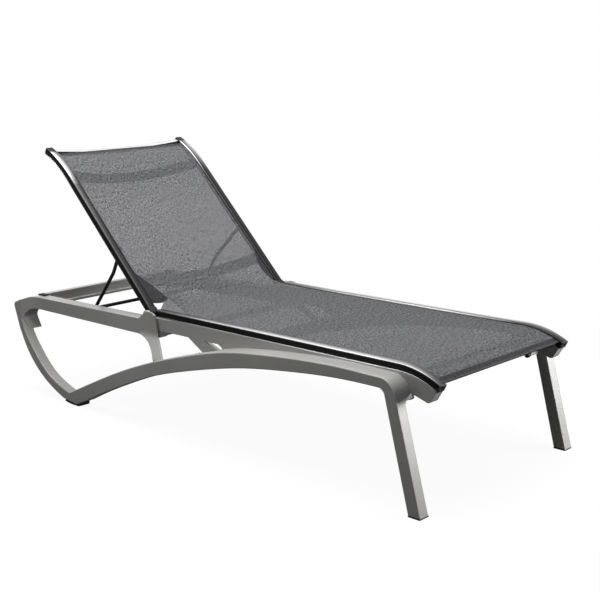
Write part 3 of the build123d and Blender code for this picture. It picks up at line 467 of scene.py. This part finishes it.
# %% Sling rows
back_rows, bridge_rows, seat_rows = 90, 81, 170
top_clearance, foot_clearance = 0.031, 0.010
back_hem_end = back_end - top_clearance
seat_hem_end = seat_end - foot_clearance
back_steps = np.linspace(back_hem_end, corner_along + bridge_reach, back_rows)
bridge_steps = np.linspace(-1.0, 1.0, bridge_rows)
seat_steps = np.linspace(corner[0] + bridge_reach, seat_hem_end, seat_rows)

row_t = np.concatenate([np.full(back_rows, -1.0), bridge_steps[1:-1], np.full(seat_rows, 1.0)])
held = np.abs(row_t) >= 1.0
back_points = back_line(back_steps, cloth_lift)[0]
seat_points = seat_line(seat_steps, cloth_lift)[0]
arc, rail = bridge_lines(bridge_steps)
middle = np.concatenate([back_points, arc[1:-1], seat_points])
edge = np.concatenate([back_points, rail[1:-1], seat_points])
lengths = along_points(middle)
print("cloth length", round(float(lengths[-1]), 3), "in", len(row_t), "rows")

# %% [markdown]
# On the bridge the middle of the cloth narrows, and its sides fold down to the rails as flat
# facets, which leave a notch open at each hinge. Held cloth still sags a little between its
# rails, less on the tight bridge and not at all at its hems.

# %% Sling widths and sag
groove_gap = 0.0002
held_span = 0.93
free_half = 0.221
notch_share = 0.16
notch_start = 0.40
half = groove_y - groove_gap - (groove_y - free_half) * (1 - row_t ** 2)
half = np.where(held, groove_y * held_span, half)
reach = notch_start + (1 - notch_start) * np.clip(np.abs(row_t) / notch_share, 0.0, 1.0)
outer_y = half + (groove_y - half) * reach
outer = middle + (edge - middle) * reach[:, None]

sag_depth = 0.0016
bridge_sag = 0.4
flat_length, sag_length = 0.03, 0.06
from_ends = np.minimum(lengths, lengths[-1] - lengths)
sag = sag_depth * np.where(held, 1.0, bridge_sag)
sag = sag * np.clip((from_ends - flat_length) / sag_length, 0.0, 1.0)
print("half width from", round(float(half.min()), 3), "sag up to", round(float(sag.max()), 4))

# %% [markdown]
# A grid suits such a sheet: one direction runs along the lounger, the other from edge to edge.
# The middle span and the two facets are worked out as whole arrays and laid side by side.

# %% Sling grid
middle_columns, facet_columns = 61, 13
middle_share = np.linspace(-1.0, 1.0, middle_columns)
side_share = np.linspace(0.0, 1.0, facet_columns + 1)[1:]
span_y = middle_share[None, :] * half[:, None]
span_x = np.broadcast_to(middle[:, 0, None], span_y.shape)
drop = sag[:, None] * (1 - middle_share[None, :] ** 2)
span = np.stack([span_x, span_y, middle[:, 1, None] - drop], axis=-1)


def facet(sign):
    """In every row, a straight line from the edge of the middle span to the outer point."""
    y = sign * (half[:, None] + (outer_y - half)[:, None] * side_share)
    xz = middle[:, None, :] + (outer - middle)[:, None, :] * side_share[None, :, None]
    return np.stack([xz[..., 0], y, xz[..., 1]], axis=-1)


cloth_grid = np.concatenate([facet(-1)[:, ::-1], span, facet(1)], axis=1)
print("cloth grid", cloth_grid.shape)

# %% [markdown]
# The weave has to follow the cloth, so the cloth gets a flat map in metres: the distance across
# each row from its middle, and the distance along the cloth.

# %% Cloth map
across_steps = np.linalg.norm(np.diff(cloth_grid, axis=1), axis=2)
row_starts = np.zeros((len(cloth_grid), 1))
width_at = np.concatenate([row_starts, np.cumsum(across_steps, axis=1)], axis=1)
width_at = width_at - width_at[:, -1:] / 2
length_at = np.broadcast_to(lengths[:, None], width_at.shape)
cloth_uv = np.stack([width_at, length_at], axis=-1)
print("cloth width at the top", round(float(width_at[0, -1] * 2), 3))

# %% [markdown]
# Outdoor sling cloth is a coarse weave of coated threads, and light passes between them. Two
# cosine waves cross on the cloth's map, one for each set of threads. Threads are also never
# alike, so two noises, drawn out along and across, make each of them a little lighter or darker.

# %% Threads
thread_pitch = 0.0016
weft_to_warp = 1.15
threads_per_metre = 270.0
tone_span = (0.54, 0.96)


def thread_wave(material, place, pitch):
    """Half of one plus the cosine of the place, one turn for each pitch: 0 in a gap, 1 on a
    thread."""
    cosine = maths(material, "COSINE", maths(material, "MULTIPLY", place, 2 * np.pi / pitch))
    return maths(material, "MULTIPLY_ADD", cosine, 0.5, 0.5)


def thread_tones(material, cloth_map):
    """Noise drawn out along the cloth, plus half of one drawn out across it."""
    along = drawn_noise(material, cloth_map, threads_per_metre, 1.0, stretch=(1.0, 0.35, 1.0))
    bars = drawn_noise(material, cloth_map, threads_per_metre, 1.0, stretch=(0.4, 1.0, 1.0))
    return maths(material, "MULTIPLY_ADD", bars, 0.5, along)


print("threads every", thread_pitch * 1000, "mm")

# %% [markdown]
# How open the cloth looks depends on how it is stretched and what lies behind it: little at the
# top of the back, most on the middle of the back, almost nothing on the seat. The gap share
# follows the distance along the cloth, and the thread tones widen or narrow each gap.

# %% Gaps between threads
top_to_back = (0.02, 0.30)
back_to_seat = (0.50, 0.74)
gap_spread = (0.55, 1.45)
gap_softness = 0.12


def thread_cover(material, along, weave, tones, gap_shares):
    """0 where the weave is below the gap share, 1 where it is above by the softness."""
    top_gap, back_gap, seat_gap = gap_shares
    upper = remap(material, along, top_to_back, (top_gap, back_gap))
    gap = remap(material, along, back_to_seat, (upper, seat_gap))
    uneven = maths(material, "MULTIPLY", gap, remap(material, tones, tone_span, gap_spread))
    wide = maths(material, "ADD", uneven, gap_softness)
    return remap(material, weave, (uneven, wide), (0.0, 1.0))


print("gap shares change between", top_to_back, "and", back_to_seat, "m along the cloth")

# %% [markdown]
# Hems are two layers of cloth and let nothing through, and on the folded facets beside the hinge
# the gaps close too. The cloth carries a value of three numbers: how closed it is, how dark, and
# how pale. The dark is the hems' own dark band and, on the back's facets, painted shade; the pale
# is painted light on the seat's facets. It is set further down, point by point of the cloth.

# %% Woven mesh
# the hems' dark, also painted shade on the back's facets, and painted light for the seat's facets
hem_and_shade_dark = (0.018, 0.018, 0.019)
facet_painted_light = (0.20, 0.20, 0.205)


def woven_mesh(name, dark, light, gap_shares):
    """Cloth: tone between dark and light by the thread tones, then towards the hem dark, which on
    the back's facets is painted shade, and towards painted light on the seat's facets; opacity is
    the greater of the thread cover and the closed value."""
    material, shader = finish_base(name, dark, roughness=0.70, specular=0.06)
    cloth_map = add_node(material, "ShaderNodeUVMap", {"uv_map": "cloth"}).outputs[0]
    width, along, _ = add_node(material, "ShaderNodeSeparateXYZ", inputs={0: cloth_map}).outputs
    fold_light_value = add_node(material, "ShaderNodeAttribute", {"attribute_name": "fold_and_painted_light"})
    parts = {0: fold_light_value.outputs["Vector"]}
    closed, hem_and_shade, painted_light = add_node(material, "ShaderNodeSeparateXYZ", inputs=parts).outputs

    warp = thread_wave(material, width, thread_pitch)
    weft = thread_wave(material, along, thread_pitch * weft_to_warp)
    weave = maths(material, "MAXIMUM", warp, weft)
    tones = thread_tones(material, cloth_map)
    tone = blend_colours(material, remap(material, tones, tone_span, (0.0, 1.0)), dark, light)
    # towards the hem dark and painted shade, then towards painted light
    tone = blend_colours(material, hem_and_shade, tone, hem_and_shade_dark)
    join(material, blend_colours(material, painted_light, tone, facet_painted_light), shader, "Base Color")

    relief = {"Strength": 0.25, "Distance": 0.0003, "Height": weave}
    join(material, add_node(material, "ShaderNodeBump", inputs=relief).outputs[0], shader, "Normal")
    cover = thread_cover(material, along, weave, tones, gap_shares)
    join(material, maths(material, "MAXIMUM", cover, closed), shader, "Alpha")
    return material


sling_cloth = woven_mesh("sling_mesh", dark=(0.023, 0.0235, 0.0255), light=(0.142, 0.143, 0.149),
                         gap_shares=(0.07, 0.175, 0.015))
sling = grid_mesh("sling", cloth_grid, [sling_cloth], uv=cloth_uv)

# %% [markdown]
# The hem at the foot end is a dark band with a slightly lighter lip, and the hem at the top of
# the back is one plain band. Both are tables of distance from the cloth's end against darkness.
# Beside the hinge, the facets of the back get painted shade and those of the seat painted light.

# %% Hems, and painted shade and light on the facets
foot_hem_at, foot_hem = [0.0, 0.004, 0.005, 0.020, 0.022], [0.35, 0.35, 0.80, 0.80, 0.0]
top_hem_at, top_hem = [0.0, 0.016, 0.018], [0.6, 0.6, 0.0]
hem = np.maximum(np.interp(lengths[-1] - lengths, foot_hem_at, foot_hem),
                 np.interp(lengths, top_hem_at, top_hem))
hem_starts = 0.01
bridge_end = 0.97
on_back = (row_t > -bridge_end) & (row_t < 0)
on_seat = (row_t >= 0) & (row_t < bridge_end)
columns = cloth_grid.shape[1]
sides = np.r_[0:facet_columns, columns - facet_columns:columns]

fold_and_painted_light = np.zeros(cloth_grid.shape)
fold_and_painted_light[..., 0] = hem[:, None] > hem_starts
fold_and_painted_light[..., 1] = hem[:, None]
# painted shade on the back's facets, painted light on the seat's facets
fold_and_painted_light[np.ix_(on_back, sides)] = (1.0, 0.80, 0.0)
fold_and_painted_light[np.ix_(on_seat, sides)] = (1.0, 0.0, 0.35)
fold_light_layer = sling.data.attributes.new("fold_and_painted_light", "FLOAT_VECTOR", "POINT")
fold_light_layer.data.foreach_set("vector", fold_and_painted_light.reshape(-1).astype(np.float32))
print("closed points", int((fold_and_painted_light[..., 0] > 0).sum()), "of", fold_and_painted_light[..., 0].size)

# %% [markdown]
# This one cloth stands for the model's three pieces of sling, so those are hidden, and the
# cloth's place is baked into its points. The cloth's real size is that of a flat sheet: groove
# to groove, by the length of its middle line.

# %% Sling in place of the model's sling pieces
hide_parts("sling_seat", "sling_bend", "sling_back")
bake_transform(sling)


# %% [markdown]
# Each rail is an extrusion. Its outline has a rounded crown towards the sitter, a strip pressed
# into its outer side with a shallow line along it, and a slot on its inner side for the cord of
# the cloth. Outline points are (outward, front), and a stretch between two points has its own
# finish: 1 for the black strip, 0 for metal.

# %% Rail outline
def rail_profile():
    """Two quarter circles of the crown's radius, then straight stretches down the outer side,
    across the underside and up the inner side. A stretch is black if both its ends are."""
    crown = 0.0045
    strip_x, line_x = rail_half_w - 0.0006, rail_half_w - 0.0014
    edge_cut, slot_depth = 0.001, 0.004
    quarter = np.radians(np.linspace(0, 90, 7))
    sine, cosine = crown * np.sin(quarter), crown * np.cos(quarter)
    inner_round = np.stack([-rail_half_w + crown - cosine, rail_half_h - crown + sine], axis=-1)
    outer_round = np.stack([rail_half_w - crown + sine, rail_half_h - crown + cosine], axis=-1)
    outer_side = [(strip_x, 0.0058), (strip_x, 0.0004), (line_x, 0.0), (line_x, -0.0012),
                  (strip_x, -0.0016), (strip_x, -0.0078), (rail_half_w, -0.0082)]
    underside = [(rail_half_w, -rail_half_h + edge_cut), (rail_half_w - edge_cut, -rail_half_h),
                 (-rail_half_w + edge_cut, -rail_half_h), (-rail_half_w, -rail_half_h + edge_cut)]
    slot = [(-rail_half_w, 0.0036), (-rail_half_w + slot_depth, 0.0036),
            (-rail_half_w + slot_depth, 0.0064)]
    points = np.concatenate([inner_round, outer_round, outer_side, underside, slot])
    outward, front = points[:, 0], points[:, 1]
    strip_inner, strip_top, strip_bottom = rail_half_w - 0.0030, 0.0102, -0.0080
    black = (outward > strip_inner) & (front < strip_top) & (front > strip_bottom)
    return points, np.where(black & np.roll(black, -1), 1, 0)


outline, outline_ids = rail_profile()
print("rail outline", len(outline), "points,", int(outline_ids.sum()), "black stretches")

# %% [markdown]
# The painted highlight of a rail point is one number for its place along the rail times one for
# its place on the outline. Along the back rail the painted streak is strong only near the top
# curl. Along the seat rail it is strong in the middle and fades at the nose. On the outline it is
# strongest on the outer half of the crown, and the sides below the crown are painted bright too,
# strongly on the outer side and weakly on the inner side.

# %% Painted highlight of the rails
# tables of the painted highlight along the rails and across their outline
back_glint_at = [0.30, 0.54, 0.61, 0.67, 0.70, 0.706]
back_glint = [0.045, 0.06, 0.35, 0.62, 0.50, 0.02]
seat_glint_at = [-0.20, -0.12, 0.05, 0.72, 0.86, 0.95]
seat_glint = [0.16, 0.30, 0.80, 0.80, 0.35, 0.06]
crown_at = [-0.014, -0.0095, -0.004, 0.003, 0.0105, 0.012]
crown_glint = [0.9, 0.12, 0.35, 1.0, 1.0, 0.2]
inner_fade_at, inner_fade = [0.45, 0.78], [0.7, 0.08]
crown_foot, inner_edge = 0.0055, -0.004
# painted highlight on the outer and inner sides below the crown
outer_wall, inner_wall = 0.9, 0.25
least_glint = 0.02


def painted_highlight_share(line, steps):
    """Painted glint along the rail times painted glint on the outline, and on the seat rail's inner
    half times a fade towards the nose; never less than the least glint."""
    outward, front = outline[:, 0], outline[:, 1]
    if line is back_line:
        top, fade = np.interp(steps, back_glint_at, back_glint), 1.0
    else:
        top = np.interp(steps, seat_glint_at, seat_glint)
        nose_fade = np.interp(steps, inner_fade_at, inner_fade)[:, None]
        fade = np.where(outward < inner_edge, nose_fade, 1.0)
    wall = np.where(outward > 0, outer_wall, inner_wall)
    crown = np.where(front < crown_foot, wall, np.interp(outward, crown_at, crown_glint))
    return np.maximum(top[:, None] * crown * fade, least_glint)


print("glint of the back rail", back_glint, "of the seat rail", seat_glint)

# %% [markdown]
# Carrying the outline along a side-view line gives the whole rail in one step. The two sides of
# the lounger are mirror images, and the back line runs the other way from the seat line, so for
# two of the four rails the outline is taken in the opposite order, which keeps the faces pointing
# outwards. The ends are left open, because the model's plugs, caps and hinge eyes fill them.

# %% Rails
sharp_from = np.radians(35)
back_rail_starts, seat_rail_starts = 0.015, -0.197
curl_count = 25


def carried(line, steps, sign):
    """Every outline point at every step: its front height goes into the line, and its outward
    distance is added to the rail's own distance from the middle."""
    xz = line(steps[:, None], outline[None, :, 1])[0]
    y = np.broadcast_to(sign * (rail_y + outline[:, 0]), xz.shape[:2])
    return np.stack([xz[..., 0], y, xz[..., 1]], axis=-1)


def rail_piece(name, line, steps, sign, body):
    """One rail: its outlines joined into a tube, with its painted highlight values and its sharp
    edges.
    """
    rings, ids, painted_shine = carried(line, steps, sign), outline_ids, painted_highlight_share(line, steps)
    if (sign > 0) == (line is back_line):
        rings, ids, painted_shine = rings[:, ::-1], np.roll(outline_ids[::-1], -1), painted_shine[:, ::-1]
    piece = grid_mesh(name, rings, [rail_finish, strip_black], ids, closed=True)
    # the painted highlight share is stored on the rail's points
    highlight_layer = piece.data.attributes.new("bright", "FLOAT", "POINT")
    highlight_layer.data.foreach_set("value", painted_shine.reshape(-1).astype(np.float32))
    piece.data.set_sharp_from_angle(angle=sharp_from)
    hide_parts(name.replace("shown_", ""))
    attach(piece, body)


def rail_steps(start, bend, end, straight_count):
    """Even steps along the straight part, then even steps round the curl."""
    curl = np.linspace(bend, end, curl_count)
    return np.concatenate([np.linspace(start, bend, straight_count), curl[1:]])


back_path = rail_steps(back_rail_starts, back_straight, back_end, straight_count=30)
seat_path = rail_steps(seat_rail_starts, nose_x, seat_end, straight_count=40)
for word, sign in (("left", 1), ("right", -1)):
    rail_piece("shown_back_rail_" + word, back_line, back_path, sign, "backrest")
    rail_piece("shown_seat_rail_" + word, seat_line, seat_path, sign, "frame")

# %% [markdown]
# The bar at the top of the back is a bright flat band between two dark edges, and the dark edges
# are painted shade. The distance from its middle line, measured along the backrest, says which is
# which, and that needs only the object's own coordinates. The painted shade is made non-metallic,
# so it loses the metal's sheen too.

# %% Top bar with painted edge shade
bar_half = 0.010
bar_below_end = 0.009
edge_begins, edge_full = bar_half - 0.0045, bar_half - 0.0032
# colour of the painted shade along the bar's two edges
painted_edge_shade = (0.02, 0.02, 0.02)


def shade_edged_bar(name, low, high, origin, along):
    """Drawn metal with painted shade at its edges: it turns dark and non-metallic where the dot
    product of the place, less the origin, with the direction along the backrest passes from where
    the edge begins to where it is full."""
    material = drawn_metal(name, low, high, roughness=0.30, stretch=along_y)
    shader = material.node_tree.nodes["Principled BSDF"]
    shader.inputs["Specular IOR Level"].default_value = 0.05
    lines = shader.inputs["Base Color"].links[0].from_socket
    place = add_node(material, "ShaderNodeTexCoord").outputs["Object"]
    less, times = {"operation": "SUBTRACT"}, {"operation": "DOT_PRODUCT"}
    offset = add_node(material, "ShaderNodeVectorMath", less, {0: place, 1: origin}).outputs[0]
    beside = add_node(material, "ShaderNodeVectorMath", times, {0: offset, 1: along})
    away = maths(material, "ABSOLUTE", beside.outputs["Value"])
    # painted shade: 0 on the bright band, 1 at the edges
    dark = remap(material, away, (edge_begins, edge_full), (0.0, 1.0))
    join(material, blend_colours(material, dark, lines, painted_edge_shade), shader, "Base Color")
    join(material, maths(material, "SUBTRACT", 1.0, dark), shader, "Metallic")
    return material


bar_middle, bar_angle = back_line([back_end - bar_below_end], 0.0)
bar_origin = (float(bar_middle[0, 0]), 0.0, float(bar_middle[0, 1]))
bar_along = (float(-np.cos(bar_angle[0])), 0.0, float(np.sin(bar_angle[0])))
paint(shade_edged_bar("silver_top_bar", (0.70, 0.70, 0.70), (0.80, 0.80, 0.80), bar_origin, bar_along),
      "back_top_bar")

# %% [markdown]
# The floor is plain. The camera sees mostly an even white there, and near the lounger a small
# share of the lit floor as well, so that the shadow stays. Every other ray meets a dark grey, so
# that the floor doesn't brighten the undersides.

# %% Floor
floor_half = 9.0
shadow_near, shadow_far = 0.9, 1.7
near_glow = 0.93
bounce_grey, camera_grey = 0.07, 0.90


def white_to_camera(material, shader):
    """Glow times the camera ray's 1 or 0 times a share that grows with the distance from the
    middle, and the shader for the rest."""
    is_camera = add_node(material, "ShaderNodeLightPath").outputs["Is Camera Ray"]
    place = add_node(material, "ShaderNodeTexCoord").outputs["Object"]
    far = add_node(material, "ShaderNodeVectorMath", {"operation": "LENGTH"}, {0: place})
    share = remap(material, far.outputs["Value"], (shadow_near, shadow_far), (near_glow, 1.0))
    tone = remap(material, is_camera, (0.0, 1.0), (bounce_grey, camera_grey))
    join(material, tone, shader, "Base Color")
    white = {"Color": (1.0, 1.0, 1.0, 1.0), "Strength": 1.0}
    glow = add_node(material, "ShaderNodeEmission", inputs=white)
    parts = {0: maths(material, "MULTIPLY", is_camera, share), 1: shader.outputs[0],
             2: glow.outputs[0]}
    mixed = add_node(material, "ShaderNodeMixShader", inputs=parts)
    join(material, mixed.outputs[0], material.node_tree.nodes["Material Output"], "Surface")


floor_paint, floor_shader = finish_base("floor_paint", (0.86, 0.86, 0.86), 0.8, specular=0.1)
white_to_camera(floor_paint, floor_shader)
floor_corners = np.array([(-1, -1, 0), (1, -1, 0), (1, 1, 0), (-1, 1, 0)]) * floor_half
floor_mesh = bpy.data.meshes.new("floor")
floor_mesh.from_pydata(floor_corners.tolist(), [], [(0, 1, 2, 3)])
floor_mesh.materials.append(floor_paint)
floor = bpy.data.objects.new("floor", floor_mesh)
bpy.context.collection.objects.link(floor)
print("floor", 2 * floor_half, "m wide")

# %% [markdown]
# The world is white where the camera or a reflection looks at it, and lights the lounger from all
# around only weakly. This keeps the background clean without flooding the object.

# %% World
fill_light = 0.10
world = bpy.data.worlds.new("studio")
world.use_nodes = True
bpy.context.scene.world = world
sky = world.node_tree.nodes["Background"]
sky.inputs["Color"].default_value = (1.0, 1.0, 1.0, 1.0)
rays = add_node(world, "ShaderNodeLightPath").outputs
seen = maths(world, "MAXIMUM", rays["Is Camera Ray"], rays["Is Glossy Ray"])
join(world, remap(world, seen, (0.0, 1.0), (fill_light, 1.0)), sky, "Strength")
print("fill light", fill_light)

# %% [markdown]
# Three soft lamps do the rest. A large one overhead lights the cloth and the tops of the frames,
# one beyond the foot end lights the fronts of the legs, and a weak one beside the lounger lifts
# its near side.

# %% Lamps
def soft_lamp(name, place, target, size, power):
    """A square lamp whose own z axis is the direction from its target to its place."""
    lamp = bpy.data.lights.new(name, "AREA")
    lamp.shape = "SQUARE"
    lamp.size = size
    lamp.energy = power
    facing = np.array(place, float) - np.array(target, float)
    facing /= np.linalg.norm(facing)
    right_hand = np.cross([0.0, 0.0, 1.0], facing)
    right_hand /= np.linalg.norm(right_hand)
    lamp_object = bpy.data.objects.new(name, lamp)
    stand(lamp_object, right_hand, np.cross(facing, right_hand), facing, place)
    print(name, size, "m,", power, "W")


soft_lamp("foot_lamp", place=(2.3, 1.5, 0.65), target=(0.7, 0.2, 0.25), size=1.0, power=60.0)
soft_lamp("top_lamp", place=(-0.4, -0.3, 3.6), target=(0.0, 0.0, 0.4), size=3.0, power=205.0)
soft_lamp("near_lamp", place=(-0.3, -1.7, 0.85), target=(-0.3, -0.3, 0.3), size=0.6, power=3.4)

bpy.context.scene.view_settings.view_transform = "Standard"
